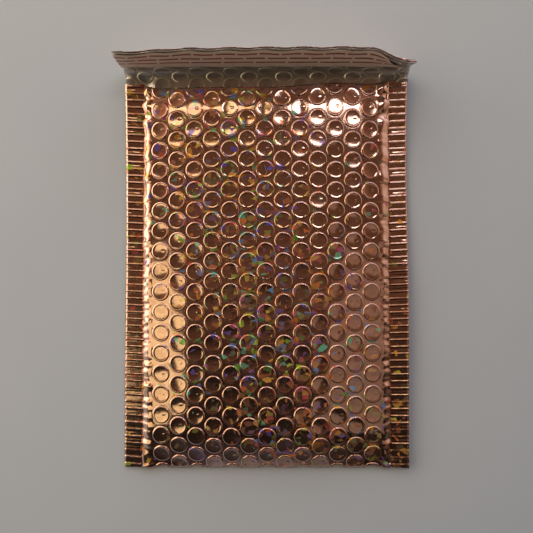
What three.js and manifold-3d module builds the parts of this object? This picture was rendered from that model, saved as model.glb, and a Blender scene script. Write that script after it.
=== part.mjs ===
// A padded envelope, lying on its back with its flap standing open behind the mouth.
// One web of metallised film, bonded to a bubble lining, is folded at the bottom and crimped
// shut along both sides. The flap carries an adhesive strip under a peel-off release liner.
// Millimetres, +Z up, +X across the envelope, +Y from the folded bottom towards the flap.
import * as THREE from "three";
import { mergeVertices } from "three/addons/utils/BufferGeometryUtils.js";
import Module from "manifold-3d";

const wasm = await Module();
wasm.setup();

// Driving dimensions of the pouch
const BODY_WIDTH = 165;
const BODY_LENGTH = 220;
const SEAL_WIDTH = 10.5;
const POCKET_GAP = 6;
const SIDE_SLOPE = 9;
const FOLD_SLOPE = 15;

// Thicknesses of the two bonded layers, and the glue line between them
const FILM = 0.3;
const LINING = 3;
const BOND = 0.15;
const LINING_AT_SEAL = 1.4;
const LINING_AT_FOLD = 2;

// Crimp of the side seals: film and lining are melted together into one ribbed bar
const RIB_PITCH = 4;
const RIB_HEIGHT = 0.5;
const SEAL_THICKNESS = 0.9;
const SEAL_WELD = 0.15;
const SEAL_OVERRUN = 3.5;

// Flap, as arc lengths along its outer face from the mouth. It lies flat, bends up past upright,
// and straightens again higher up, each by an amount that changes across its width.
const FLAP_LENGTH = 44;
const FLAP_ROOT = 6;
const FLAP_FLAT = 6.5;
const FLAP_RADIUS = 9;
const FLAP_LEAN_RUN = 5;
const FLAP_STRAIGHTEN_RUN = 7;
const FLAP_ANGLES = [
  { x: -BODY_WIDTH / 2, bend: 95, top: 97 },
  { x: 0, bend: 90, top: 90 },
  { x: 35, bend: 90, top: 91 },
  { x: BODY_WIDTH / 2, bend: 93, top: 112 },
];
const LINING_START = SEAL_OVERRUN + 0.3;
const LINING_LAP = 0.3;

// Strips on the flap's inner face
const STRIP_GAP = 0.15;
const ADHESIVE_THICKNESS = 0.25;
const ADHESIVE_FROM = 27;
const ADHESIVE_TO = 40.5;
const ADHESIVE_END_MARGIN = 10;
const LINER_THICKNESS = 0.25;
const LINER_FROM = 24.5;
const LINER_TO = 42.5;
const LINER_CUT_LOW = { x: 80, z: 11 };
const LINER_CUT_HIGH = { x: 66, z: 32 };

// Steps of the curved stretches
const SLOPE_STEPS = 6;
const BEND_STEPS = 8;
const STRAIGHTEN_STEPS = 4;
const FLAP_COLUMN_STEPS = 24;
const PANEL_COLUMNS = 4;

const WALL = FILM + BOND + LINING;
const HALF_WIDTH = BODY_WIDTH / 2;
const POUCH_HALF = HALF_WIDTH - SEAL_WIDTH;
const FLAT_HALF = POUCH_HALF - SIDE_SLOPE;
const TOP = 2 * WALL + POCKET_GAP;

// Numbers spread evenly from a to b, both ends included
function spread(a, b, steps) {
  return Array.from({ length: steps + 1 }, (_, i) => a + ((b - a) * i) / steps);
}

// A closed solid between two faces that share one grid of stations. Where the faces meet, the
// wall between them has no height and drops out.
function solidBetween(us, vs, upper, lower) {
  const points = [];
  for (const face of [upper, lower]) {
    for (const v of vs) {
      for (const u of us) points.push(...face(u, v));
    }
  }
  const columns = us.length;
  const rows = vs.length;
  const at = (face, i, j) => face * columns * rows + j * columns + i;
  const index = [];
  const quad = (a, b, c, d) => index.push(a, b, c, a, c, d);
  for (let j = 0; j + 1 < rows; j++) {
    for (let i = 0; i + 1 < columns; i++) {
      quad(at(0, i, j), at(0, i + 1, j), at(0, i + 1, j + 1), at(0, i, j + 1));
      quad(at(1, i, j), at(1, i, j + 1), at(1, i + 1, j + 1), at(1, i + 1, j));
    }
  }
  const last = { i: columns - 1, j: rows - 1 };
  for (let i = 0; i + 1 < columns; i++) {
    quad(at(1, i, 0), at(1, i + 1, 0), at(0, i + 1, 0), at(0, i, 0));
    quad(at(0, i, last.j), at(0, i + 1, last.j), at(1, i + 1, last.j), at(1, i, last.j));
  }
  for (let j = 0; j + 1 < rows; j++) {
    quad(at(0, 0, j), at(0, 0, j + 1), at(1, 0, j + 1), at(1, 0, j));
    quad(at(1, last.i, j), at(1, last.i, j + 1), at(0, last.i, j + 1), at(0, last.i, j));
  }
  const geometry = new THREE.BufferGeometry();
  geometry.setAttribute("position", new THREE.Float32BufferAttribute(points, 3));
  geometry.setIndex(index);
  return solidOf(geometry);
}

// A closed geometry as a solid, with its shared vertices merged and its flat slivers dropped
function solidOf(geometry) {
  const bare = geometry.clone();
  bare.deleteAttribute("normal");
  bare.deleteAttribute("uv");
  const merged = mergeVertices(bare, 1e-4);
  const kept = [];
  for (let i = 0; i < merged.index.count; i += 3) {
    const [a, b, c] = [0, 1, 2].map((k) => merged.index.getX(i + k));
    if (a !== b && b !== c && c !== a) kept.push(a, b, c);
  }
  const vertProperties = new Float32Array(merged.attributes.position.array);
  const triVerts = new Uint32Array(kept);
  return new wasm.Manifold(new wasm.Mesh({ numProp: 3, vertProperties, triVerts }));
}

function meshOf(name, solid, material) {
  const { numProp, vertProperties, triVerts } = solid.getMesh();
  const positions = [];
  for (let i = 0; i < vertProperties.length; i += numProp) {
    positions.push(...vertProperties.slice(i, i + 3));
  }
  const geometry = new THREE.BufferGeometry();
  geometry.setAttribute("position", new THREE.Float32BufferAttribute(positions, 3));
  geometry.setIndex(Array.from(triVerts));
  geometry.computeVertexNormals();
  const mesh = new THREE.Mesh(geometry, material);
  mesh.name = name;
  return mesh;
}

// The pouch's outline at one layer: flat underneath, flat on top, and sloping down as a quarter
// ellipse to both seals and to the bottom fold. inset is how far the layer lies inside the
// outer face of the film, side and fold are its own insets at those edges.
function pouchLayer({ inset, side, fold, length }) {
  const slope = spread(0, Math.PI / 2, SLOPE_STEPS);
  const flat = spread(-FLAT_HALF, FLAT_HALF, PANEL_COLUMNS);
  const sideStation = (angle, sign) => ({
    x: sign * (FLAT_HALF + (POUCH_HALF - side - FLAT_HALF) * Math.sin(angle)),
    height: Math.cos(angle),
  });
  const columns = [
    ...slope.slice(1).reverse().map((angle) => sideStation(angle, -1)),
    ...flat.map((x) => ({ x, height: 1 })),
    ...slope.slice(1).map((angle) => sideStation(angle, 1)),
  ];
  const rows = [
    ...slope.slice(1).reverse().map((angle) => ({
      y: FOLD_SLOPE - (FOLD_SLOPE - fold) * Math.sin(angle),
      height: Math.cos(angle),
    })),
    { y: FOLD_SLOPE, height: 1 },
    { y: length, height: 1 },
  ];
  const roof = TOP - 2 * inset;
  const upper = (u, v) => [u.x, v.y, inset + roof * u.height * v.height];
  const lower = (u, v) => [u.x, v.y, inset];
  return solidBetween(columns, rows, upper, lower);
}

// The flap's stretches at a place across it, each with its length and the angle that it turns
function flapStretches(x) {
  const next = Math.max(1, FLAP_ANGLES.findIndex((p) => p.x >= x));
  const [a, b] = [FLAP_ANGLES[next - 1], FLAP_ANGLES[next]];
  const share = THREE.MathUtils.smoothstep(x, a.x, b.x);
  const bend = THREE.MathUtils.degToRad(THREE.MathUtils.lerp(a.bend, b.bend, share));
  const top = THREE.MathUtils.degToRad(THREE.MathUtils.lerp(a.top, b.top, share));
  return [
    { length: FLAP_FLAT, turn: 0 },
    { length: FLAP_RADIUS * bend, turn: bend },
    { length: FLAP_LEAN_RUN, turn: 0 },
    { length: FLAP_STRAIGHTEN_RUN, turn: top - bend },
    { length: FLAP_LENGTH, turn: 0 },
  ];
}

// A point of the flap at arc length s, offset inwards from the film's outer face. Each stretch is a
// circular arc, so its chord lies halfway through its turn.
function flapPoint(x, s, offset) {
  let [y, z, angle, left] = [Math.min(s, 0), 0, 0, Math.max(s, 0)];
  for (const { length, turn } of flapStretches(x)) {
    const run = Math.min(left, length);
    const half = (turn * run) / length / 2;
    const chord = half === 0 ? run : (run * Math.sin(half)) / half;
    y += chord * Math.cos(angle + half);
    z += chord * Math.sin(angle + half);
    angle += 2 * half;
    left -= run;
  }
  return [x, BODY_LENGTH + y - offset * Math.sin(angle), z + offset * Math.cos(angle)];
}

// Stations shared by every layer of the flap, so that the layers nest face to face
const BEND_END = FLAP_FLAT + FLAP_RADIUS * flapStretches(-HALF_WIDTH)[1].turn;
const LEAN_END = BEND_END + FLAP_LEAN_RUN;
const FLAP_COLUMNS = spread(-HALF_WIDTH, HALF_WIDTH, FLAP_COLUMN_STEPS);
const FLAP_ROWS = [
  -FLAP_ROOT,
  LINING_START,
  LINING_START + LINING_LAP,
  ...spread(FLAP_FLAT, BEND_END, BEND_STEPS),
  ...spread(LEAN_END, LEAN_END + FLAP_STRAIGHTEN_RUN, STRAIGHTEN_STEPS),
  LINER_FROM,
  ADHESIVE_FROM,
  ADHESIVE_TO,
  LINER_TO,
  FLAP_LENGTH,
].sort((a, b) => a - b);

// A layer of the flap between two offsets from its outer face
function flapLayer({ half = HALF_WIDTH, from, to, low, high }) {
  const columns = FLAP_COLUMNS.filter((x) => Math.abs(x) <= half);
  const rows = FLAP_ROWS.filter((s) => s >= from && s <= to);
  const upper = (x, s) => flapPoint(x, s, high);
  const lower = (x, s) => flapPoint(x, s, low);
  return solidBetween(columns, rows, upper, lower);
}

// One crimped side seal: a ribbed bar whose ribs run across it, a little longer than the front
// panel, which its bulge draws back from the mouth
function sealBar(sign) {
  const length = BODY_LENGTH + SEAL_OVERRUN;
  const steps = 2 * Math.round(length / RIB_PITCH);
  const ribs = spread(0, length, steps).map((y, i) => ({ y, z: i % 2 ? RIB_HEIGHT : 0 }));
  const outline = new THREE.Shape([
    ...ribs.map(({ y, z }) => new THREE.Vector2(y, z)),
    ...ribs.reverse().map(({ y, z }) => new THREE.Vector2(y, z + SEAL_THICKNESS)),
  ]);
  const bar = new THREE.ExtrudeGeometry(outline, {
    depth: SEAL_WIDTH + SEAL_WELD,
    bevelEnabled: false,
  });
  bar.applyMatrix4(new THREE.Matrix4().makeBasis(
    new THREE.Vector3(0, 1, 0),
    new THREE.Vector3(0, 0, 1),
    new THREE.Vector3(1, 0, 0),
  ));
  bar.translate(sign > 0 ? POUCH_HALF - SEAL_WELD : -HALF_WIDTH, 0, 0);
  return solidOf(bar);
}

// Metallised film: the outside of the pouch, the side seals and the back of the flap
function outerFilm() {
  const outside = pouchLayer({ inset: 0, side: 0, fold: 0, length: BODY_LENGTH });
  const hollow = pouchLayer({
    inset: FILM,
    side: FILM,
    fold: FILM,
    length: BODY_LENGTH + FLAP_ROOT,
  });
  const flap = flapLayer({ from: -FLAP_ROOT, to: FLAP_LENGTH, low: 0, high: FILM });
  const material = new THREE.MeshStandardMaterial({
    color: 0x9a5f43,
    roughness: 0.16,
    metalness: 0.95,
  });
  const solid = outside.subtract(hollow).add(sealBar(-1)).add(sealBar(1)).add(flap);
  return meshOf("outer_film", solid, material);
}

// Bubble lining: bonded all over the inside of the film, it walls the pocket and faces the flap
function bubbleLining() {
  const glued = FILM + BOND;
  const outside = pouchLayer({ inset: glued, side: glued, fold: glued, length: BODY_LENGTH });
  const pocket = pouchLayer({
    inset: WALL,
    side: glued + LINING_AT_SEAL,
    fold: glued + LINING_AT_FOLD,
    length: BODY_LENGTH + FLAP_ROOT,
  });
  const layer = { low: glued, high: WALL };
  const root = flapLayer({
    half: FLAT_HALF,
    from: -FLAP_ROOT,
    to: LINING_START + LINING_LAP,
    ...layer,
  });
  const flap = flapLayer({ from: LINING_START, to: FLAP_LENGTH, ...layer });
  const material = new THREE.MeshStandardMaterial({
    color: 0x8a877d,
    roughness: 0.3,
    metalness: 0.35,
  });
  return meshOf("bubble_lining", outside.subtract(pocket).add(root).add(flap), material);
}

// Hot-melt adhesive across the inner face of the flap, hidden by the liner
function adhesiveStrip() {
  const low = WALL + STRIP_GAP;
  const solid = flapLayer({
    half: HALF_WIDTH - ADHESIVE_END_MARGIN,
    from: ADHESIVE_FROM,
    to: ADHESIVE_TO,
    low,
    high: low + ADHESIVE_THICKNESS,
  });
  const material = new THREE.MeshStandardMaterial({ color: 0xd9cfae, roughness: 0.35 });
  return meshOf("adhesive_strip", solid, material);
}

// Siliconed paper that is peeled off to use the adhesive, cut at a slant at one end
function releaseLiner() {
  const low = WALL + 2 * STRIP_GAP + ADHESIVE_THICKNESS;
  const strip = flapLayer({
    from: LINER_FROM,
    to: LINER_TO,
    low,
    high: low + LINER_THICKNESS,
  });
  const offcut = new THREE.ExtrudeGeometry(new THREE.Shape([
    new THREE.Vector2(LINER_CUT_LOW.x, LINER_CUT_LOW.z),
    new THREE.Vector2(BODY_WIDTH, LINER_CUT_LOW.z),
    new THREE.Vector2(BODY_WIDTH, FLAP_LENGTH),
    new THREE.Vector2(LINER_CUT_HIGH.x, FLAP_LENGTH),
    new THREE.Vector2(LINER_CUT_HIGH.x, LINER_CUT_HIGH.z),
  ]), { depth: FLAP_LENGTH, bevelEnabled: false });
  offcut.rotateX(Math.PI / 2);
  offcut.translate(0, BODY_LENGTH + FLAP_LENGTH, 0);
  const material = new THREE.MeshStandardMaterial({ color: 0xd8c6bd, roughness: 0.6 });
  return meshOf("release_liner", strip.subtract(solidOf(offcut)), material);
}

const envelope = new THREE.Group();
envelope.name = "padded_envelope";
envelope.add(outerFilm(), bubbleLining(), adhesiveStrip(), releaseLiner());

// The frame's origin is on the table, under the middle of the whole envelope
const box = new THREE.Box3().setFromObject(envelope);
envelope.position.y = -(box.min.y + box.max.y) / 2;

export default envelope;
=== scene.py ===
import math

import bmesh
import bpy
import numpy as np
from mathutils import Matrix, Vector


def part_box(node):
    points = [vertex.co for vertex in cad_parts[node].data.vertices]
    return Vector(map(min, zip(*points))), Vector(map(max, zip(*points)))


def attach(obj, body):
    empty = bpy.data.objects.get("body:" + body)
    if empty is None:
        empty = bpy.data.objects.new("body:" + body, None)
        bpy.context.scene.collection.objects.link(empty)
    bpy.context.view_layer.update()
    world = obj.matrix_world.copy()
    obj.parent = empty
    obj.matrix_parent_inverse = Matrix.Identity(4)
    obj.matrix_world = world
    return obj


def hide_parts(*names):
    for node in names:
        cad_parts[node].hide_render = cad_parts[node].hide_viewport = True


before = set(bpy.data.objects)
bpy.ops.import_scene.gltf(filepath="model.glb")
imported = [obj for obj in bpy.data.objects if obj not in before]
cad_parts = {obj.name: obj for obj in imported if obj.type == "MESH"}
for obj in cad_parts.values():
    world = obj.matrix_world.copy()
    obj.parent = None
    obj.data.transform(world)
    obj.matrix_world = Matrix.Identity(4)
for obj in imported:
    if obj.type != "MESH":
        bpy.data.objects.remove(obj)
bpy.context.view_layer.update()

# The table and the view
# The envelope lies on a pale grey, matt painted table. A hand-held camera looks straight down on it,
# with a wide lens, tipped a degree and a half so that the folded bottom is a little nearer.
MM = 0.001
CAMERA_DROP = 314 * MM
CAMERA_TIP = math.radians(1.46)
CAMERA_BACK = 8.8 * MM
CAMERA_LENS = 36
CAMERA_SENSOR = 36
TABLE_SIZE = 6
TABLE_CLEARANCE = 0.2 * MM


def linear(hex_colour):
    """An sRGB hex colour as linear RGBA."""
    parts = [int(hex_colour[i:i + 2], 16) / 255 for i in (1, 3, 5)]
    return [p / 12.92 if p <= 0.04045 else ((p + 0.055) / 1.055) ** 2.4 for p in parts] + [1]


def new_material(name):
    """An empty node material with its output and a Principled shader, linked."""
    material = bpy.data.materials.new(name)
    material.use_nodes = True
    return material, material.node_tree.nodes["Principled BSDF"]


def add_node(owner, kind, inputs, **settings):
    """Adds a node with its settings. Each input is a value, or another node's output to link."""
    made = owner.node_tree.nodes.new(kind)
    for name, value in settings.items():
        setattr(made, name, value)
    for socket, value in inputs.items():
        if isinstance(value, bpy.types.NodeSocket):
            owner.node_tree.links.new(value, made.inputs[socket])
        else:
            made.inputs[socket].default_value = value
    return made


bpy.ops.object.select_all(action="DESELECT")
bpy.ops.object.camera_add(
    location=(0, -CAMERA_BACK, CAMERA_DROP),
    rotation=(CAMERA_TIP, 0, 0),
)
camera = bpy.context.object
camera.data.lens = CAMERA_LENS
camera.data.sensor_width = CAMERA_SENSOR
camera.data.clip_start = 1 * MM
bpy.context.scene.camera = camera

bpy.ops.mesh.primitive_plane_add(size=TABLE_SIZE, location=(0, 0, -TABLE_CLEARANCE))
table = bpy.context.object
table.name = "table"

# Rolled matt paint, cool grey in soft clouds, with painted light that makes it a shade paler towards its
# far left corner.
matt_paint, shader = new_material("matt_grey_paint")
on_table = add_node(matt_paint, "ShaderNodeTexCoord", {})
clouds = add_node(
    matt_paint,
    "ShaderNodeTexNoise",
    {"Vector": on_table.outputs["Object"], "Scale": 1 / (60 * MM), "Detail": 6.0, "Roughness": 0.65},
)
# Painted light: a gradient that pales the table towards its far left corner, as if the light fell off
# across it.
painted_light_falloff = add_node(
    matt_paint,
    "ShaderNodeVectorMath",
    {0: on_table.outputs["Object"], 1: (1.7, -1.9, 0)},
    operation="DOT_PRODUCT",
)
clouds_and_painted_light = add_node(
    matt_paint,
    "ShaderNodeMath",
    {0: clouds.outputs[0], 1: 0.25, 2: painted_light_falloff.outputs["Value"]},
    operation="MULTIPLY_ADD",
)
shade = add_node(
    matt_paint, "ShaderNodeMapRange", {"Value": clouds_and_painted_light.outputs[0], 1: -0.5, 2: 0.75, 3: 0, 4: 1}
)
greys = add_node(
    matt_paint,
    "ShaderNodeMix",
    {0: shade.outputs[0], 6: linear("#cbd5e0"), 7: linear("#aab6c4")},
    data_type="RGBA",
)
matt_paint.node_tree.links.new(greys.outputs[2], shader.inputs["Base Color"])
shader.inputs["Roughness"].default_value = 0.75
table.data.materials.append(matt_paint)

# The light
# Soft boxes in a room: a broad warm one at the left, two beyond the flap, and a faint one at the right.
# Overhead and in front stay dark, as under a camera, so that the film looks deep.
SOFT_BOXES = [
    {
        "name": "warm_left", "at": (-0.72, -0.18, 0.85), "aim": (0, 0, 0),
        "size": (0.4, 0.56), "colour": "#ffefb8", "watts": 0.95,
    },
    {
        "name": "warm_beyond", "at": (-0.34, 0.52, 1.0), "aim": (-0.34, 0, 0),
        "size": (0.6, 0.14), "colour": "#ffeac0", "watts": 0.62,
    },
    {
        "name": "pale_beyond", "at": (0.34, 0.52, 1.0), "aim": (0.34, 0, 0),
        "size": (0.5, 0.14), "colour": "#fff6f2", "watts": 1.3,
    },
    {
        "name": "faint_right", "at": (0.56, -0.24, 0.95), "aim": (0, 0, 0),
        "size": (0.56, 0.56), "colour": "#ffe2cc", "watts": 0.23,
    },
]
for box in SOFT_BOXES:
    bpy.ops.object.light_add(type="AREA", location=box["at"])
    lamp = bpy.context.object
    lamp.name = box["name"]
    lamp.data.shape = "RECTANGLE"
    lamp.data.size, lamp.data.size_y = box["size"]
    lamp.data.color = linear(box["colour"])[:3]
    lamp.data.energy = box["watts"]
    lamp.rotation_euler = (Vector(box["aim"]) - lamp.location).to_track_quat("-Z", "Y").to_euler()

room = bpy.data.worlds.new("soft_room")
room.use_nodes = True
towards = add_node(room, "ShaderNodeTexCoord", {})
split = add_node(room, "ShaderNodeSeparateXYZ", {"Vector": towards.outputs["Generated"]})
window_side = add_node(
    room,
    "ShaderNodeVectorMath",
    {0: towards.outputs["Generated"], 1: (-0.75, 0.35, 0)},
    operation="DOT_PRODUCT",
)
walls = add_node(
    room,
    "ShaderNodeMapRange",
    {"Value": window_side.outputs["Value"], 1: -0.8, 2: 0.8, 3: 0.46, 4: 3.6},
)
low_down = add_node(
    room,
    "ShaderNodeMapRange",
    {"Value": split.outputs["Z"], 1: 0.85, 2: 0.35, 3: 0, 4: 1},
    interpolation_type="SMOOTHSTEP",
)
CEILING = 0.118
level = add_node(room, "ShaderNodeMix", {0: low_down.outputs[0], 2: CEILING, 3: walls.outputs[0]})
front = add_node(
    room,
    "ShaderNodeMapRange",
    {"Value": split.outputs["Y"], 1: 0.05, 2: -0.28, 3: 0, 4: 0.96},
    interpolation_type="SMOOTHSTEP",
)
overhead = add_node(
    room,
    "ShaderNodeMapRange",
    {"Value": split.outputs["Z"], 1: 0.2, 2: 0.45, 3: 0.84, 4: 1},
    interpolation_type="SMOOTHSTEP",
)
shade = add_node(
    room, "ShaderNodeMath", {0: front.outputs[0], 1: overhead.outputs[0]}, operation="MULTIPLY"
)
open_share = add_node(room, "ShaderNodeMath", {0: 1, 1: shade.outputs[0]}, operation="SUBTRACT")
strength = add_node(
    room, "ShaderNodeMath", {0: level.outputs[0], 1: open_share.outputs[0]}, operation="MULTIPLY"
)
wall_place = add_node(
    room, "ShaderNodeMapRange", {"Value": window_side.outputs["Value"], 1: -0.8, 2: 0.8, 3: 0, 4: 1}
)
wall_paint = add_node(room, "ShaderNodeValToRGB", {"Fac": wall_place.outputs[0]})
wall_paint.color_ramp.elements.new(0.5)
for element, colour in zip(wall_paint.color_ramp.elements, ["#ffdcba", "#d2e4ff", "#fff6da"]):
    element.color = linear(colour)
paint = add_node(
    room,
    "ShaderNodeMix",
    {0: low_down.outputs[0], 6: linear("#ffb687"), 7: wall_paint.outputs["Color"]},
    data_type="RGBA",
)
background = room.node_tree.nodes["Background"]
room.node_tree.links.new(paint.outputs[2], background.inputs["Color"])
room.node_tree.links.new(strength.outputs[0], background.inputs["Strength"])
bpy.context.scene.world = room
bpy.context.scene.view_settings.view_transform = "Standard"

# The web of bubbles
# Film and lining are each one long web, embossed all over by the staggered bubbles between them.
# One hexagonal cell with its bubble, rimmed and dished, is modelled and repeated down and across it.
BUBBLE_PITCH = 11.7 * MM
COLUMN_PITCH = BUBBLE_PITCH * math.sqrt(3) / 2
BUBBLE_FOOT = 5.2 * MM
BUBBLE_RISE = 0.75 * MM
DISH_DEPTH = 0.12 * MM
BUBBLE_DROP = 1 * MM
WEB_COLUMNS = 18
WEB_ROWS = 45
FIRST_COLUMN = -8


def hexagon_reach(angle):
    """How far the cell's hexagon reaches from its centre in a direction; a corner is at angle 0."""
    from_flat = (angle % math.radians(60)) - math.radians(30)
    return BUBBLE_PITCH / 2 / math.cos(from_flat)


def select_where(mesh, kind, test):
    """In edit mode, selects the faces or edges whose middle passes the test, and nothing else."""
    bpy.ops.mesh.select_all(action="DESELECT")
    bpy.ops.mesh.select_mode(type=kind)
    shape = bmesh.from_edit_mesh(mesh)
    if kind == "FACE":
        for face in shape.faces:
            face.select_set(bool(test(face, face.calc_center_median())))
    else:
        for edge in shape.edges:
            edge.select_set(bool(test(edge, (edge.verts[0].co + edge.verts[1].co) / 2)))
    bmesh.update_edit_mesh(mesh)


def add_cell(at, sides, rim_steps):
    """One bubble on its hexagon of web, at a place on the flat web."""
    bpy.ops.object.select_all(action="DESELECT")
    bpy.ops.mesh.primitive_circle_add(
        vertices=sides,
        radius=BUBBLE_FOOT,
        fill_type="NGON",
        location=(0, 0, 0),
        rotation=(0, 0, math.radians(30)),
    )
    bpy.ops.object.transform_apply(rotation=True)
    cell = bpy.context.object
    bpy.ops.object.mode_set(mode="EDIT")
    for width, share in rim_steps:
        bpy.ops.mesh.inset(thickness=width, depth=share * BUBBLE_RISE)
    bpy.ops.mesh.poke(offset=-DISH_DEPTH)
    select_where(cell.data, "EDGE", lambda edge, middle: edge.is_boundary)
    bpy.ops.mesh.mark_sharp()
    bpy.ops.mesh.extrude_edges_move()
    bpy.ops.mesh.mark_sharp(clear=True)
    bpy.ops.transform.resize(value=(1.2, 1.2, 1))
    shape = bmesh.from_edit_mesh(cell.data)
    for corner in [v for v in shape.verts if v.is_boundary]:
        angle = math.atan2(corner.co.y, corner.co.x)
        reach = hexagon_reach(angle)
        corner.co = (reach * math.cos(angle), reach * math.sin(angle), 0)
    bmesh.update_edit_mesh(cell.data)
    bpy.ops.mesh.select_all(action="SELECT")
    bpy.ops.mesh.normals_make_consistent(inside=False)
    bpy.ops.transform.translate(value=at)
    bpy.ops.object.mode_set(mode="OBJECT")
    return cell


def add_flat_web(name, sides, rim_steps):
    """The whole flat web: cells repeated along -Y and across X, welded at their hexagons' edges."""
    start = FIRST_COLUMN * COLUMN_PITCH
    first_row = BUBBLE_PITCH - BUBBLE_DROP
    even = add_cell((start, first_row, 0), sides, rim_steps)
    odd = add_cell((start + COLUMN_PITCH, first_row + BUBBLE_PITCH / 2, 0), sides, rim_steps)
    even.select_set(True)
    bpy.context.view_layer.objects.active = even
    bpy.ops.object.join()
    for offset, count in [
        ((2 * COLUMN_PITCH, 0, 0), WEB_COLUMNS // 2),
        ((0, -BUBBLE_PITCH, 0), WEB_ROWS),
    ]:
        array = even.modifiers.new("repeat", "ARRAY")
        array.use_relative_offset = False
        array.use_constant_offset = True
        array.constant_offset_displace = offset
        array.count = count
        bpy.ops.object.modifier_apply(modifier=array.name)
    even.name = name
    even.data.name = name
    bpy.ops.object.mode_set(mode="EDIT")
    bpy.ops.mesh.select_all(action="SELECT")
    bpy.ops.mesh.remove_doubles(threshold=0.05 * MM)
    bpy.ops.object.mode_set(mode="OBJECT")
    return even


# How the web lies
# The web runs from the mouth down the front, round the fold, back under and up the flap. Lengths
# along it count from the front edge of the mouth, and widths across it from its middle.
BODY_LENGTH = 220 * MM
FILM_LOW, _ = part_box("outer_film")
MOUTH_Y = FILM_LOW[1] + BODY_LENGTH
FOLD_Y = FILM_LOW[1] + 0.4 * MM
FRONT_HEIGHT = 10.2 * MM
MOUTH_TILT = 0.14
MOUTH_TILT_REACH = 13.5 * MM
MOUTH_TILT_BEND = 4 * MM
FOLD_SLOPE = 22 * MM
FOLD_POWER = 1.4
BACK_HEIGHT = 0.8 * MM
EDGE_HALF = 66 * MM
EDGE_CROWN = 0.5
EDGE_CROWN_POWER = 2.6
FOLD_BLEND = 4 * MM
DRIFT_TOP = -1.2 * MM
DRIFT_FOLD = 0.6 * MM
SLOPE_LENGTH = 7.4 * MM
SLOPE_END = 72.2 * MM
SLOPE_POWER = 1.3
SEAL_LEVEL = 1.1 * MM
MOUTH_STRETCH = 40 * MM
MOUTH_RISE = 0.7 * MM
MOUTH_RISE_RIGHT = 2.8 * MM
MOUTH_RISE_CORNERS = 2 * MM
FLAP_LENGTH = 42.5 * MM
FLAP_FLAT = 6 * MM
FLAP_RADIUS = 9 * MM
FLAP_LEAN_RUN = 5 * MM
FLAP_STRAIGHTEN_RUN = 7 * MM
FLAP_HALF = 83.3 * MM
FLAP_PLACES = np.array([-82.5, -40, 0, 50, 82.5]) * MM
FLAP_BENDS = np.radians([95, 91, 90, 90, 93])
FLAP_TOPS = np.radians([97, 91, 89.5, 89, 97])
FLAP_WIDEN = 6 * MM
LIP_WAVE = 0.7 * MM
LIP_WAVE_REACH = 9 * MM
CORNER_FROM = 54 * MM
CORNER_RISE_FROM = 24 * MM
CORNER_FORWARD = 2 * MM
CORNER_DROP = 9 * MM
TIP_TUCK = 0.6 * MM
TIP_TUCK_REACH = 8 * MM


def smooth(low, high, value):
    """A smooth step from 0 at low to 1 at high."""
    share = np.clip((value - low) / (high - low), 0, 1)
    return share * share * (3 - 2 * share)


def web_path():
    """The middle line of the pouch as points (y, z), from the mouth's front edge to its back one."""
    y_front = np.linspace(MOUTH_Y, FOLD_Y + FOLD_SLOPE, 400)
    past = np.clip(y_front - MOUTH_Y + MOUTH_TILT_REACH, 0, None)
    bent = np.minimum(past, MOUTH_TILT_BEND)
    dip = MOUTH_TILT * (bent ** 2 / (2 * MOUTH_TILT_BEND) + past - bent)
    front = np.column_stack([y_front, FRONT_HEIGHT - dip])
    run = np.linspace(0, 1, 40)[1:]
    drop = FRONT_HEIGHT - 2 * BACK_HEIGHT
    slope = np.column_stack([FOLD_Y + FOLD_SLOPE * (1 - run), FRONT_HEIGHT - drop * run ** FOLD_POWER])
    crease = np.linspace(0, math.pi, 12)[1:]
    tuck = BACK_HEIGHT / 2
    fold = np.column_stack([
        FOLD_Y + tuck * (1 - np.cos(crease / 2)),
        BACK_HEIGHT + tuck * (1 + np.cos(crease)),
    ])
    back = np.column_stack([np.linspace(FOLD_Y + 2 * tuck, MOUTH_Y, 120), np.full(120, BACK_HEIGHT)])
    return np.vstack([front, slope, fold, back])


PATH = web_path()
PATH_LENGTH = np.concatenate([[0], np.cumsum(np.hypot(*np.diff(PATH, axis=0).T))])
FOLD_LENGTH = PATH_LENGTH[np.argmin(PATH[:, 0])]
BACK_LENGTH = PATH_LENGTH[-1]
WEB_LENGTH = BACK_LENGTH + FLAP_LENGTH


def lay_pouch(across, along):
    """Where the web's plain surface lies on the pouch."""
    side = np.sign(across)
    reach = np.abs(across)
    down = np.clip(np.minimum(along, 2 * FOLD_LENGTH - along) / FOLD_LENGTH, 0, 1)
    drift = DRIFT_TOP + (DRIFT_FOLD - DRIFT_TOP) * down
    beyond = np.clip((reach - EDGE_HALF) / SLOPE_LENGTH, 0, 1)
    spare = np.clip(reach - EDGE_HALF - SLOPE_LENGTH, 0, None)
    edge = np.clip(across, -EDGE_HALF, EDGE_HALF) + drift
    x = edge + (side * SLOPE_END - edge) * beyond + side * spare
    y = np.interp(along, PATH_LENGTH, PATH[:, 0])
    rise = MOUTH_RISE + MOUTH_RISE_RIGHT * smooth(5 * MM, 45 * MM, across)
    rise = rise + MOUTH_RISE_CORNERS * smooth(60 * MM, 72 * MM, reach)
    y = y + rise * np.clip(1 - along / MOUTH_STRETCH, 0, 1) ** 2
    height = np.interp(along, PATH_LENGTH, PATH[:, 1])
    crown = 1 - (1 - EDGE_CROWN) * np.clip(reach / EDGE_HALF, 0, 1) ** EDGE_CROWN_POWER
    on_front = 1 - smooth(FOLD_LENGTH - FOLD_BLEND, FOLD_LENGTH, along)
    height = height * (1 + (crown - 1) * on_front)
    seal = np.minimum(SEAL_LEVEL, height)
    z = seal + (height - seal) * (1 - beyond ** SLOPE_POWER)
    return np.column_stack([x, y, z])


def across_flap(across, values):
    """A value that changes smoothly across the flap, from its values at the listed places."""
    found = np.full(len(across), values[0])
    for start, end, before, after in zip(FLAP_PLACES, FLAP_PLACES[1:], values, values[1:]):
        found += (after - before) * smooth(start, end, across)
    return found


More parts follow.
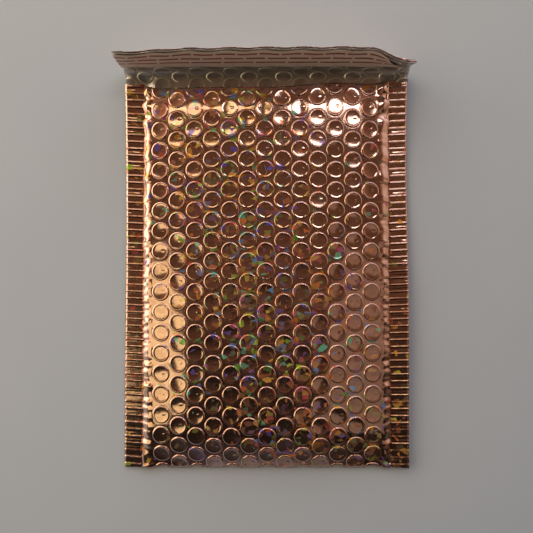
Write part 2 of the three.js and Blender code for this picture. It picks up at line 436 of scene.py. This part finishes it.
def lay_flap(across, rise, inward):
    """Where a layer of the flap lies, at a length up from the mouth and a depth in from its back."""
    base = lay_pouch(across, np.full(len(across), BACK_LENGTH))
    x = base[:, 0] + (across - base[:, 0]) * smooth(0, FLAP_WIDEN, rise)
    near_tip = smooth(FLAP_LENGTH - LIP_WAVE_REACH, FLAP_LENGTH, rise)
    rise = rise + LIP_WAVE * near_tip * np.cos(math.pi * across / COLUMN_PITCH)
    bend = across_flap(across, FLAP_BENDS)
    top = across_flap(across, FLAP_TOPS)
    y = np.zeros(len(across))
    z = np.zeros(len(across))
    angle = np.zeros(len(across))
    left = rise
    for length, turn in [
        (FLAP_FLAT, 0),
        (FLAP_RADIUS * bend, bend),
        (FLAP_LEAN_RUN, 0),
        (FLAP_STRAIGHTEN_RUN, top - bend),
        (2 * FLAP_LENGTH, 0),
    ]:
        run = np.clip(left, 0, length)
        half = turn * run / length / 2
        chord = run * np.sinc(half / math.pi)
        y += chord * np.cos(angle + half)
        z += chord * np.sin(angle + half)
        angle += 2 * half
        left = left - run
    curl = smooth(CORNER_FROM, FLAP_HALF, across) * smooth(CORNER_RISE_FROM, FLAP_LENGTH, rise)
    y = MOUTH_Y + y - inward * np.sin(angle) - CORNER_FORWARD * curl
    return np.column_stack([x, y, z + inward * np.cos(angle) - CORNER_DROP * curl])


def lay_web(across, along):
    """Where the film's plain surface lies, on the pouch and on the flap."""
    on_flap = along > BACK_LENGTH
    pouch = lay_pouch(across, np.minimum(along, BACK_LENGTH))
    tuck = TIP_TUCK * smooth(WEB_LENGTH - TIP_TUCK_REACH, WEB_LENGTH, along)
    flap = lay_flap(across, np.clip(along - BACK_LENGTH, 0, None), BACK_HEIGHT + tuck)
    return np.where(on_flap[:, None], flap, pouch)


def outward(lay, across, along):
    """The outward direction of a laid web, from its slopes across and along."""
    step = 0.05 * MM
    tangent_x = lay(across + step, along) - lay(across - step, along)
    tangent_y = lay(across, along - step) - lay(across, along + step)
    normal = np.cross(tangent_x, tangent_y)
    return normal / np.linalg.norm(normal, axis=1)[:, None]


def bubble_of(across, along):
    """The middle of the nearest bubble, and a steady number for it."""
    column = np.round(across / COLUMN_PITCH)
    shift = np.where(column % 2 == 0, 0, BUBBLE_PITCH / 2)
    row = np.round((along - BUBBLE_DROP + shift) / BUBBLE_PITCH)
    middle = np.column_stack([column * COLUMN_PITCH, row * BUBBLE_PITCH - shift + BUBBLE_DROP])
    number = ((column + 40) * 211 + (row + 7) * 17).astype(int)
    return middle, number


# The outer film
# Copper-coloured metallised film with a broken-glass holographic finish, bonded to the bubbles so that
# each one shows as a flat-topped disc. It is crushed flat in a strip beside each seal.
CUT_SLIP = 0.001 * MM


def trim_web(web, half_pouch, half_flap):
    """Cuts the flat web to its length, the flap to its width, and the pouch to the outermost bubbles."""
    bpy.ops.object.select_all(action="DESELECT")
    web.select_set(True)
    bpy.context.view_layer.objects.active = web
    bpy.ops.object.mode_set(mode="EDIT")
    for place, direction in [
        ((0, 0, 0), (0, 1, 0)),
        ((0, -WEB_LENGTH, 0), (0, -1, 0)),
        ((-half_flap, 0, 0), (-1, 0, 0)),
        ((half_flap, 0, 0), (1, 0, 0)),
    ]:
        bpy.ops.mesh.select_all(action="SELECT")
        bpy.ops.mesh.bisect(plane_co=place, plane_no=direction, clear_outer=True, threshold=CUT_SLIP)
    bpy.ops.mesh.select_all(action="SELECT")
    bpy.ops.mesh.bisect(plane_co=(0, -BACK_LENGTH, 0), plane_no=(0, 1, 0), threshold=CUT_SLIP)
    for side in (-1, 1):
        select_where(web.data, "FACE", lambda face, middle: middle.y > -BACK_LENGTH)
        bpy.ops.mesh.bisect(
            plane_co=(side * half_pouch, 0, 0),
            plane_no=(side, 0, 0),
            clear_outer=True,
            threshold=CUT_SLIP,
        )
    bpy.ops.object.mode_set(mode="OBJECT")


def add_slopes(web, steps):
    """Extrudes the pouch's cut sides out to the seals, in steps fine enough to crinkle."""
    bpy.ops.object.mode_set(mode="EDIT")
    for side in (-1, 1):
        select_where(
            web.data,
            "EDGE",
            lambda edge, middle: edge.is_boundary
            and abs(middle.x - side * EDGE_HALF) < 0.01 * MM
            and middle.y > -BACK_LENGTH,
        )
        for _ in range(steps):
            bpy.ops.mesh.extrude_edges_move()
            bpy.ops.transform.translate(value=(side * SLOPE_LENGTH / steps, 0, 0))
    bpy.ops.object.mode_set(mode="OBJECT")


def flat_places(web):
    """The flat web's vertices as widths across, lengths along and heights of relief."""
    places = np.empty(len(web.data.vertices) * 3)
    web.data.vertices.foreach_get("co", places)
    places = places.reshape(-1, 3)
    return places[:, 0], -places[:, 1], places[:, 2]


def keep_web_maps(web):
    """Keeps two UV maps in metres for patterns: each place on the flat web, and its bubble's middle."""
    across, along, _ = flat_places(web)
    corners = np.empty(len(web.data.loops), dtype=int)
    web.data.loops.foreach_get("vertex_index", corners)
    layer = web.data.uv_layers.new(name="web")
    layer.data.foreach_set("uv", np.column_stack([across[corners], along[corners]]).ravel())
    face_middles = np.empty(len(web.data.polygons) * 3)
    web.data.polygons.foreach_get("center", face_middles)
    face_middles = face_middles.reshape(-1, 3)
    sizes = np.empty(len(web.data.polygons), dtype=int)
    web.data.polygons.foreach_get("loop_total", sizes)
    middle, _ = bubble_of(face_middles[:, 0], -face_middles[:, 1])
    layer = web.data.uv_layers.new(name="bubble")
    layer.data.foreach_set("uv", np.repeat(middle, sizes, axis=0).ravel())


FILM_RIM = [(0.26 * MM, 1), (0.7 * MM, -0.4), (0.75 * MM, -0.11)]
film = add_flat_web("outer_film_web", 18, FILM_RIM)
trim_web(film, EDGE_HALF, FLAP_HALF)
bpy.ops.object.mode_set(mode="EDIT")
ring_height = BUBBLE_RISE * sum(share for _, share in FILM_RIM)
select_where(
    film.data,
    "EDGE",
    lambda edge, middle: middle.y < -FOLD_LENGTH
    and all(abs(corner.co.z - ring_height) < CUT_SLIP for corner in edge.verts),
)
bpy.ops.mesh.dissolve_edges()
add_slopes(film, 4)
keep_web_maps(film)

BUBBLE_TILT = math.radians(1.1)
BUBBLE_FULLNESS = (0.8, 1.1)
BACK_RELIEF = 0.6
FLAP_RELIEF = 0.9
CUT_RELIEF = 0.35
CUT_REACH = 4 * MM
FOLD_FLATTENING = 0.85
FOLD_REACH = 3 * MM
CRINKLE_FROM = 2 * MM
CRINKLE_WANDER = 37 * MM
CRINKLES = [(11.7 * MM, 0.25 * MM, 0.4), (6.3 * MM, 0.24 * MM, 2.1), (4 * MM, 0.16 * MM, 4.0)]
MOUTH_CRUMPLE = 1.2
across, along, relief = flat_places(film)
rng = np.random.default_rng(11)
middle, number = bubble_of(across, along)
tilt = rng.normal(0, BUBBLE_TILT, (30000, 2))[number]
fullness = rng.uniform(*BUBBLE_FULLNESS, 30000)[number]
lean_relief = np.where(relief > 0.1 * BUBBLE_RISE, 1, 0) * (
    (across - middle[:, 0]) * np.tan(tilt[:, 0]) + (along - middle[:, 1]) * np.tan(tilt[:, 1])
)
kept = np.where(along > BACK_LENGTH, FLAP_RELIEF, np.where(along > FOLD_LENGTH, BACK_RELIEF, 1))
whole = np.abs(middle[:, 0]) < EDGE_HALF
kept = kept * np.where(whole | (along > BACK_LENGTH), 1, 0)
kept = kept * (1 - FOLD_FLATTENING * np.exp(-((along - FOLD_LENGTH) / FOLD_REACH) ** 2))
ends = np.minimum(along, WEB_LENGTH - along)
kept = kept * (CUT_RELIEF + (1 - CUT_RELIEF) * smooth(0, CUT_REACH, ends))
crinkle = np.zeros(len(across))
in_slope = smooth(EDGE_HALF, EDGE_HALF + CRINKLE_FROM, np.abs(across)) * (along < FOLD_LENGTH)
for wave, depth, turn in CRINKLES:
    wander = 0.3 * np.abs(across) * np.sin(along / CRINKLE_WANDER + turn)
    crinkle += depth * (1 + np.sin(2 * math.pi * (along + wander) / wave + turn))
places = lay_web(across, along)
normals = outward(lay_web, across, along)
crumpled = 1 + MOUTH_CRUMPLE * (1 - smooth(5 * MM, 30 * MM, along))
places += normals * ((relief * fullness + lean_relief) * kept + crinkle * crumpled * in_slope)[:, None]
film.data.vertices.foreach_set("co", places.ravel())
film.data.update()

FILM_THICKNESS = 0.15 * MM


def give_thickness(piece, thickness):
    """Closes a laid sheet into a thin solid, on the side away from its faces, and smooths it."""
    bpy.ops.object.select_all(action="DESELECT")
    piece.select_set(True)
    bpy.context.view_layer.objects.active = piece
    wall = piece.modifiers.new("thickness", "SOLIDIFY")
    wall.thickness = thickness
    wall.offset = -1
    bpy.ops.object.modifier_apply(modifier=wall.name)
    bpy.ops.object.shade_smooth()


give_thickness(film, FILM_THICKNESS)

# Metallised polyester with an embossed broken-glass hologram: a copper mirror, cut into angular shards
# of a few millimetres. Some shards carry a pure colour painted in as a painted reflection of diffracted
# light, crowded in slanting bands of painted light, more on one bubble than on the next; and each
# bubble is puckered by a different depth beside its middle.
SHARD = 4.2 * MM
LIGHT_BAND_SPACING = 165 * MM
LIGHT_BAND_SLANT = (0.958, -0.287)
copper_film, shader = new_material("holographic_copper_film")
web_map = add_node(copper_film, "ShaderNodeUVMap", {}, uv_map="web")
bubble_map = add_node(copper_film, "ShaderNodeUVMap", {}, uv_map="bubble")
cracks = []
for turn, stretch in [(0.6, 0.7), (-0.9, 1.6)]:
    turned = add_node(
        copper_film,
        "ShaderNodeMapping",
        {
            "Vector": web_map.outputs["UV"],
            "Rotation": (0, 0, turn),
            "Scale": (1 / SHARD, stretch / SHARD, 1),
        },
    )
    cracks.append(add_node(
        copper_film,
        "ShaderNodeTexVoronoi",
        {"Vector": turned.outputs["Vector"], "Scale": 1.0, "Randomness": 1.0},
        voronoi_dimensions="2D",
    ))
crossed = add_node(
    copper_film,
    "ShaderNodeVectorMath",
    {0: cracks[0].outputs["Color"], 1: cracks[1].outputs["Color"]},
    operation="ADD",
)
shard = add_node(
    copper_film, "ShaderNodeTexWhiteNoise", {"Vector": crossed.outputs["Vector"]}, noise_dimensions="3D"
)
pick = add_node(copper_film, "ShaderNodeSeparateColor", {"Color": shard.outputs["Color"]})
bubble_draw = add_node(
    copper_film, "ShaderNodeTexWhiteNoise", {"Vector": bubble_map.outputs["UV"]}, noise_dimensions="2D"
)
draw = add_node(copper_film, "ShaderNodeSeparateColor", {"Color": bubble_draw.outputs["Color"]})
# Slanting bands of painted light, where more shards flash as if the lamps' light were diffracted there.
across_light_bands = add_node(
    copper_film,
    "ShaderNodeVectorMath",
    {0: web_map.outputs["UV"], 1: [2 * math.pi / LIGHT_BAND_SPACING * part for part in (*LIGHT_BAND_SLANT, 0)]},
    operation="DOT_PRODUCT",
)
flash_light_band = add_node(
    copper_film, "ShaderNodeMath", {0: across_light_bands.outputs["Value"], 1: 1.25}, operation="ADD"
)
flash_light_band = add_node(copper_film, "ShaderNodeMath", {0: flash_light_band.outputs[0]}, operation="COSINE")
painted_flash_crowd = add_node(
    copper_film, "ShaderNodeMapRange", {"Value": flash_light_band.outputs[0], 1: -0.6, 2: 1, 3: 0.07, 4: 0.5}
)
lively = add_node(
    copper_film, "ShaderNodeMapRange", {"Value": draw.outputs["Red"], 3: 0.35, 4: 1.6}
)
share = add_node(
    copper_film, "ShaderNodeMath", {0: painted_flash_crowd.outputs[0], 1: lively.outputs[0]}, operation="MULTIPLY"
)
# The flashes are painted reflections: pure colours put into the base colour of the chosen shards.
painted_flash_mask = add_node(
    copper_film, "ShaderNodeMath", {0: pick.outputs["Red"], 1: share.outputs[0]}, operation="LESS_THAN"
)
strong = add_node(copper_film, "ShaderNodeMapRange", {"Value": pick.outputs["Blue"], 3: 0.25, 4: 1})
painted_flash = add_node(
    copper_film, "ShaderNodeMath", {0: painted_flash_mask.outputs[0], 1: strong.outputs[0]}, operation="MULTIPLY"
)
spread = add_node(
    copper_film,
    "ShaderNodeMath",
    {0: pick.outputs["Green"], 1: 0.6, 2: draw.outputs["Green"]},
    operation="MULTIPLY_ADD",
)
hue = add_node(copper_film, "ShaderNodeMath", {0: spread.outputs[0]}, operation="FRACT")
hues = add_node(copper_film, "ShaderNodeValToRGB", {"Fac": hue.outputs[0]})
HUES = [
    "#d8702f", "#e8a02f", "#e0c84a", "#a8c83a", "#4cae3c", "#58ccb0", "#5f98e4", "#5450cc", "#8458c0",
    "#c8607c", "#c84a30", "#e08038", "#c88a34", "#b85a2c", "#8a3c34", "#d8a848",
]
ramp = hues.color_ramp
ramp.interpolation = "CONSTANT"
while len(ramp.elements) < len(HUES):
    ramp.elements.new(0.5)
for place, (element, colour) in enumerate(zip(ramp.elements, HUES)):
    element.position = place / len(HUES)
    element.color = linear(colour)
tint = add_node(
    copper_film,
    "ShaderNodeMix",
    {0: pick.outputs["Blue"], 6: linear("#d8b3a4"), 7: linear("#c7a191")},
    data_type="RGBA",
)
colour = add_node(
    copper_film,
    "ShaderNodeMix",
    {0: painted_flash.outputs[0], 6: tint.outputs[2], 7: hues.outputs["Color"]},
    data_type="RGBA",
)
# The metal is turned down on flashing shards, so that their painted colour shows as if lit from any side.
glow = add_node(
    copper_film, "ShaderNodeMath", {0: painted_flash.outputs[0], 1: 2.5}, operation="POWER"
)
gloss = add_node(copper_film, "ShaderNodeMapRange", {"Value": glow.outputs[0], 3: 0.97, 4: 0.25})
on_bubble = add_node(
    copper_film,
    "ShaderNodeVectorMath",
    {0: web_map.outputs["UV"], 1: bubble_map.outputs["UV"]},
    operation="SUBTRACT",
)
from_pucker = add_node(
    copper_film,
    "ShaderNodeMapping",
    {"Vector": on_bubble.outputs["Vector"], "Location": (-1.1 * MM, 0.3 * MM, 0), "Scale": (0.7, 1, 1)},
)
pucker_reach = add_node(
    copper_film, "ShaderNodeVectorMath", {0: from_pucker.outputs["Vector"]}, operation="LENGTH"
)
depth = add_node(
    copper_film, "ShaderNodeMath", {0: draw.outputs["Blue"], 1: 0.1 * MM}, operation="MULTIPLY"
)
pucker = add_node(
    copper_film,
    "ShaderNodeMapRange",
    {"Value": pucker_reach.outputs["Value"], 1: 1.1 * MM, 2: 0.1 * MM, 3: 0, 4: depth.outputs[0]},
    interpolation_type="SMOOTHSTEP",
)
creases = add_node(
    copper_film,
    "ShaderNodeTexNoise",
    {"Vector": web_map.outputs["UV"], "Scale": 1 / (3.5 * MM), "Detail": 3.0, "Roughness": 0.6},
    noise_dimensions="2D",
)
height = add_node(
    copper_film,
    "ShaderNodeMath",
    {0: creases.outputs[0], 1: 0.02 * MM, 2: pucker.outputs[0]},
    operation="MULTIPLY_ADD",
)
bump = add_node(
    copper_film, "ShaderNodeBump", {"Height": height.outputs[0], "Strength": 1.0, "Distance": 1.0}
)
for output, socket in [
    (colour.outputs[2], "Base Color"),
    (gloss.outputs[0], "Metallic"),
    (bump.outputs["Normal"], "Normal"),
]:
    copper_film.node_tree.links.new(output, shader.inputs[socket])
shader.inputs["Roughness"].default_value = 0.1
film.data.materials.append(copper_film)
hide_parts("outer_film")
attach(film, "root")

# The side seals
# Hot ribbed jaws melt film and lining together down both sides, into stiff bars ribbed like a file.
# The bars run from the fold to the mouth, and their ribs pull the film beside them into crinkles.
SEAL_INNER = 71 * MM
SEAL_OUTER = 82.5 * MM
SEAL_THICKNESS = 0.45 * MM
SEAL_BASE = 1.7 * MM
RIB_PITCH = 4 * MM
RIB_RISE = 0.3 * MM
RIB_SKEW = 0.05
RIB_HALF = 0.34 * MM
RIB_FULLNESS = (0.75, 1.1)
SEAL_TWIST = 0.12 * MM
SEAL_WAVE = 0.12 * MM
SEAL_WANDER = 0.25 * MM
UPTURN = 2.2 * MM
UPTURN_REACH = 50 * MM
SEAL_COLUMNS = 10
SEAL_ROWS = 900


def add_seal(name, side, top, droop):
    """One ribbed bar up to its top end, from a grid. Its outer edge droops, or lifts, towards the fold."""
    bpy.ops.object.select_all(action="DESELECT")
    bpy.ops.mesh.primitive_grid_add(x_subdivisions=SEAL_COLUMNS, y_subdivisions=SEAL_ROWS, size=1)
    seal = bpy.context.object
    seal.name = name
    bpy.ops.object.mode_set(mode="EDIT")
    bpy.ops.transform.resize(value=(SEAL_OUTER - SEAL_INNER, top - FOLD_Y, 1))
    bpy.ops.transform.translate(
        value=(side * (SEAL_OUTER + SEAL_INNER) / 2, (top + FOLD_Y) / 2, 0)
    )
    bpy.ops.object.mode_set(mode="OBJECT")
    across, along, _ = flat_places(seal)
    layer = seal.data.uv_layers["UVMap"]
    layer.name = "web"
    corners = np.empty(len(seal.data.loops), dtype=int)
    seal.data.loops.foreach_get("vertex_index", corners)
    layer.data.foreach_set("uv", np.column_stack([across[corners], along[corners] + MOUTH_Y]).ravel())
    draws = np.random.default_rng(5 if side < 0 else 6)
    from_inner = (np.abs(across) - SEAL_INNER) / (SEAL_OUTER - SEAL_INNER)
    count = (along + MOUTH_Y + RIB_SKEW * (np.abs(across) - SEAL_INNER)) / RIB_PITCH
    rib = np.floor(count).astype(int) + 5
    rise = draws.uniform(*RIB_FULLNESS, 80)[rib]
    twist = draws.uniform(-SEAL_TWIST, SEAL_TWIST, 80)[rib]
    wave = np.exp(-(((count % 1) - 0.5) * RIB_PITCH / RIB_HALF) ** 2)
    sag = droop * smooth(-60 * MM, 50 * MM, along) * from_inner
    lift = SEAL_WAVE * np.sin(along / (23 * MM)) + twist * from_inner - sag
    upturn = UPTURN * np.clip(1 - (along + MOUTH_Y) / UPTURN_REACH, 0, None) ** 2
    z = SEAL_BASE + lift + upturn + RIB_RISE * rise * wave * smooth(0, 0.12, from_inner)
    wander = SEAL_WANDER * np.sin(along / (31 * MM) + side) * from_inner
    places = np.column_stack([across + side * wander, -along, z])
    seal.data.vertices.foreach_set("co", places.ravel())
    give_thickness(seal, SEAL_THICKNESS)
    seal.data.materials.append(copper_film)
    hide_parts("outer_film")
    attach(seal, "root")
    return seal


LEFT_OVERRUN = 3.5 * MM
LEFT_DROOP = 0.7 * MM
RIGHT_OVERRUN = 5.3 * MM
RIGHT_LIFT = 2.4 * MM
add_seal("left_seal", -1, MOUTH_Y + LEFT_OVERRUN, LEFT_DROOP)
add_seal("right_seal", 1, MOUTH_Y + RIGHT_OVERRUN, -RIGHT_LIFT)

# The bubble lining
# Silver-grey bubble film bonded inside the copper film. It walls the pocket and faces the flap, where
# the bubbles show as rings, and it is crushed thin along every cut edge and beside the seals.
LINING_DEPTH = 2.6 * MM
LINING_EDGE = 0.3 * MM
LINING_RELIEF = 0.8
LINING_THICKNESS = 0.2 * MM
LINING_CLEAR = 0.4 * MM
LINING_FULLNESS = (0.5, 1.2)
TIP_REACH = 14 * MM


def lining_depth(across, along):
    """How deep the lining's inner face lies behind the film."""
    beyond = np.clip((np.abs(across) - EDGE_HALF) / SLOPE_LENGTH, 0, 1)
    on_flap = along > BACK_LENGTH
    past_seal = smooth(5 * MM, 8 * MM, along - BACK_LENGTH)
    beside_seal = 1 - smooth(66 * MM, 70 * MM, np.abs(across)) * (1 - past_seal)
    edge = smooth(-0.5 * MM, 1 * MM, FLAP_HALF - np.abs(across))
    side = np.where(on_flap, edge * beside_seal, 1 - beyond ** 2)
    near_fold = smooth(2 * MM, 16 * MM, np.abs(along - FOLD_LENGTH))
    near_mouth = smooth(0, 3 * MM, along)
    near_tip = 0.5 + 0.5 * smooth(0, TIP_REACH, WEB_LENGTH - along)
    depth = LINING_EDGE + (LINING_DEPTH - LINING_EDGE) * side * near_fold * near_mouth * near_tip
    facing = np.clip(np.minimum(along, 2 * FOLD_LENGTH - along), 0, None)
    pocket = (lay_pouch(across, facing)[:, 2] - BACK_HEIGHT) / 2 - LINING_CLEAR
    return np.where(on_flap, depth, np.minimum(depth, np.maximum(pocket, LINING_EDGE)))


def lay_lining(across, along):
    """Where the lining's plain surface lies, inside the pouch and on the flap."""
    depth = lining_depth(across, along)
    pouch = lay_pouch(across, np.minimum(along, BACK_LENGTH))
    pouch[:, 2] += np.where(along < FOLD_LENGTH, -depth, depth)
    flap = lay_flap(across, np.clip(along - BACK_LENGTH, 0, None), BACK_HEIGHT + depth)
    return np.where((along > BACK_LENGTH)[:, None], flap, pouch)


LINING_RIM = [(0.4 * MM, 1), (0.6 * MM, -0.25)]
lining = add_flat_web("bubble_lining_web", 12, LINING_RIM)
trim_web(lining, EDGE_HALF, FLAP_HALF)
add_slopes(lining, 2)
keep_web_maps(lining)
across, along, relief = flat_places(lining)
middle, number = bubble_of(across, along)
fullness = rng.uniform(*LINING_FULLNESS, 30000)[number]
near_cut = smooth(0, CUT_REACH, np.minimum(along, WEB_LENGTH - along))
places = lay_lining(across, along)
normals = outward(lay_lining, across, along)
places -= normals * (relief * LINING_RELIEF * fullness * near_cut)[:, None]
lining.data.vertices.foreach_set("co", places.ravel())
give_thickness(lining, LINING_THICKNESS)

# Grey-backed film, dull silver with a slight brown cast: each bubble has a pale ring painted on its rim as
# a painted highlight, round a darker middle of painted shade, and soft clouds where the film is stretched.
silver_lining, shader = new_material("silver_bubble_film")
web_map = add_node(silver_lining, "ShaderNodeUVMap", {}, uv_map="web")
bubble_map = add_node(silver_lining, "ShaderNodeUVMap", {}, uv_map="bubble")
from_middle = add_node(
    silver_lining,
    "ShaderNodeVectorMath",
    {0: web_map.outputs["UV"], 1: bubble_map.outputs["UV"]},
    operation="DISTANCE",
)
painted_rim_ring = add_node(silver_lining, "ShaderNodeValToRGB", {"Fac": 0})
ring_scale = add_node(
    silver_lining, "ShaderNodeMapRange", {"Value": from_middle.outputs["Value"], 1: 0, 2: 7 * MM}
)
silver_lining.node_tree.links.new(ring_scale.outputs[0], painted_rim_ring.inputs["Fac"])
# Painted highlight on each bubble's rim, round a middle darkened as painted shade.
RIM_HIGHLIGHT_TONES = [(0, "#a29992"), (3.9, "#a89f97"), (4.5, "#e0d5c7"), (5.0, "#e0d5c7"), (5.5, "#c2b9b0")]
while len(painted_rim_ring.color_ramp.elements) < len(RIM_HIGHLIGHT_TONES):
    painted_rim_ring.color_ramp.elements.new(0.5)
for element, (radius, tone) in zip(painted_rim_ring.color_ramp.elements, RIM_HIGHLIGHT_TONES):
    element.position = radius / 7
    element.color = linear(tone)
clouds = add_node(
    silver_lining,
    "ShaderNodeTexNoise",
    {"Vector": web_map.outputs["UV"], "Scale": 1 / (6 * MM), "Detail": 4.0, "Roughness": 0.6},
    noise_dimensions="2D",
)
cloud_level = add_node(
    silver_lining,
    "ShaderNodeMapRange",
    {"Value": clouds.outputs[0], 1: 0.3, 2: 0.7, 3: 0, 4: 0.5},
)
silver = add_node(
    silver_lining,
    "ShaderNodeMix",
    {0: cloud_level.outputs[0], 6: painted_rim_ring.outputs["Color"], 7: linear("#ccc1b3")},
    data_type="RGBA",
)
bump = add_node(
    silver_lining,
    "ShaderNodeBump",
    {"Height": clouds.outputs[0], "Strength": 0.5, "Distance": 0.2 * MM},
)
silver_lining.node_tree.links.new(silver.outputs[2], shader.inputs["Base Color"])
silver_lining.node_tree.links.new(bump.outputs["Normal"], shader.inputs["Normal"])
shader.inputs["Metallic"].default_value = 0.55
shader.inputs["Roughness"].default_value = 0.26
lining.data.materials.append(silver_lining)
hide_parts("bubble_lining")
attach(lining, "root")

# The adhesive strip
# A band of clear hot-melt adhesive rolled across the flap, under the liner that keeps it from sticking.
ADHESIVE_FROM = 26 * MM
ADHESIVE_TO = 39.5 * MM
ADHESIVE_HALF = 68 * MM
ADHESIVE_THICKNESS = 0.2 * MM
STRIP_LIFT = 0.4 * MM


def add_flap_strip(name, columns, rows, thickness, place):
    """A strip on the flap's inner face. place turns shares across and up it into flap coordinates."""
    bpy.ops.object.select_all(action="DESELECT")
    bpy.ops.mesh.primitive_grid_add(x_subdivisions=columns, y_subdivisions=rows, size=1)
    strip = bpy.context.object
    strip.name = name
    across, along, _ = flat_places(strip)
    x, rise, lift = place(across + 0.5, 0.5 - along)
    layer = strip.data.uv_layers["UVMap"]
    layer.name = "strip"
    corners = np.empty(len(strip.data.loops), dtype=int)
    strip.data.loops.foreach_get("vertex_index", corners)
    layer.data.foreach_set("uv", np.column_stack([x[corners], rise[corners]]).ravel())
    depth = lining_depth(np.clip(x, -78 * MM, 78 * MM), BACK_LENGTH + rise)
    places = lay_flap(x, rise, BACK_HEIGHT + depth + lift)
    strip.data.vertices.foreach_set("co", places.ravel())
    give_thickness(strip, thickness)
    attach(strip, "root")
    return strip


def place_adhesive(share_across, share_up):
    x = ADHESIVE_HALF * (2 * share_across - 1)
    return x, ADHESIVE_FROM + (ADHESIVE_TO - ADHESIVE_FROM) * share_up, np.full(len(x), STRIP_LIFT)


adhesive = add_flap_strip("adhesive_band", 90, 12, ADHESIVE_THICKNESS, place_adhesive)

# Rolled hot melt: pale amber, streaked along the strip where the roller drew it out.
hot_melt, shader = new_material("clear_hot_melt")
strip_map = add_node(hot_melt, "ShaderNodeUVMap", {}, uv_map="strip")
drawn_out = add_node(
    hot_melt,
    "ShaderNodeMapping",
    {"Vector": strip_map.outputs["UV"], "Scale": (1 / (25 * MM), 1 / (1.5 * MM), 1)},
)
streaks = add_node(
    hot_melt,
    "ShaderNodeTexNoise",
    {"Vector": drawn_out.outputs["Vector"], "Scale": 1.0, "Detail": 3.0},
    noise_dimensions="2D",
)
amber = add_node(
    hot_melt,
    "ShaderNodeMix",
    {0: streaks.outputs[0], 6: linear("#d8cfae"), 7: linear("#c2b58c")},
    data_type="RGBA",
)
hot_melt.node_tree.links.new(amber.outputs[2], shader.inputs["Base Color"])
shader.inputs["Roughness"].default_value = 0.3
adhesive.data.materials.append(hot_melt)
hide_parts("adhesive_strip")

# The release liner
# A strip of siliconed pinkish paper over the adhesive, with plain red bars printed along it. It is cut
# at a slant at its right end, short of the flap's corner.
LINER_FROM = 23.5 * MM
LINER_TO = 41.4 * MM
LINER_LEFT = -83.1 * MM
LINER_RIGHT_LOW = 79 * MM
LINER_RIGHT_HIGH = 66 * MM
LINER_THICKNESS = 0.15 * MM
LINER_LIFT = 0.75 * MM


def place_liner(share_across, share_up):
    right = LINER_RIGHT_LOW + (LINER_RIGHT_HIGH - LINER_RIGHT_LOW) * share_up
    x = LINER_LEFT + (right - LINER_LEFT) * share_across
    rise = LINER_FROM + (LINER_TO - LINER_FROM) * share_up
    ripple = 0.15 * MM * np.sin(2 * math.pi * x / (2 * COLUMN_PITCH)) * np.sin(rise / (5 * MM))
    loose_end = 0.8 * MM * smooth(0.97, 1, share_across)
    return x, rise, LINER_LIFT + ripple + loose_end


liner = add_flap_strip("release_liner_paper", 170, 24, LINER_THICKNESS, place_liner)

# Thin siliconed paper, warm white and a little mottled, printed with three rows of plain red bars.
BAR_LENGTH = 12 * MM
BAR_SPACING = 4.25 * MM
BAR_GAP = 0.8 * MM
BARS_FROM = 27.6 * MM
BARS_TO = 40.35 * MM
release_paper, shader = new_material("siliconed_paper")
strip_map = add_node(release_paper, "ShaderNodeUVMap", {}, uv_map="strip")
flattened = add_node(
    release_paper,
    "ShaderNodeMapping",
    {"Vector": strip_map.outputs["UV"], "Location": (0, -BARS_FROM / 2, 0), "Scale": (1, 0.5, 1)},
)
mottle = add_node(
    release_paper,
    "ShaderNodeTexNoise",
    {"Vector": strip_map.outputs["UV"], "Scale": 1 / (4 * MM), "Detail": 4.0},
    noise_dimensions="2D",
)
paper = add_node(
    release_paper,
    "ShaderNodeMix",
    {0: mottle.outputs[0], 6: linear("#f0dccb"), 7: linear("#e2cbb9")},
    data_type="RGBA",
)
print_rows = add_node(
    release_paper,
    "ShaderNodeTexBrick",
    {
        "Vector": flattened.outputs["Vector"],
        "Color1": linear("#8c2c30"),
        "Color2": linear("#a04444"),
        "Mortar": paper.outputs[2],
        "Scale": 1.0,
        "Mortar Size": BAR_GAP,
        "Mortar Smooth": 0.2,
        "Brick Width": BAR_LENGTH,
        "Row Height": BAR_SPACING / 2,
    },
    offset=0.37,
    offset_frequency=2,
    squash=1.5,
    squash_frequency=3,
)
up_strip = add_node(release_paper, "ShaderNodeSeparateXYZ", {"Vector": strip_map.outputs["UV"]})
past_first = add_node(
    release_paper, "ShaderNodeMath", {0: up_strip.outputs["Y"], 1: BARS_FROM}, operation="GREATER_THAN"
)
before_last = add_node(
    release_paper, "ShaderNodeMath", {0: up_strip.outputs["Y"], 1: BARS_TO}, operation="LESS_THAN"
)
in_rows = add_node(
    release_paper,
    "ShaderNodeMath",
    {0: past_first.outputs[0], 1: before_last.outputs[0]},
    operation="MULTIPLY",
)
printed = add_node(
    release_paper,
    "ShaderNodeMix",
    {0: in_rows.outputs[0], 6: paper.outputs[2], 7: print_rows.outputs["Color"]},
    data_type="RGBA",
)
release_paper.node_tree.links.new(printed.outputs[2], shader.inputs["Base Color"])
shader.inputs["Roughness"].default_value = 0.45
liner.data.materials.append(release_paper)
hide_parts("release_liner")
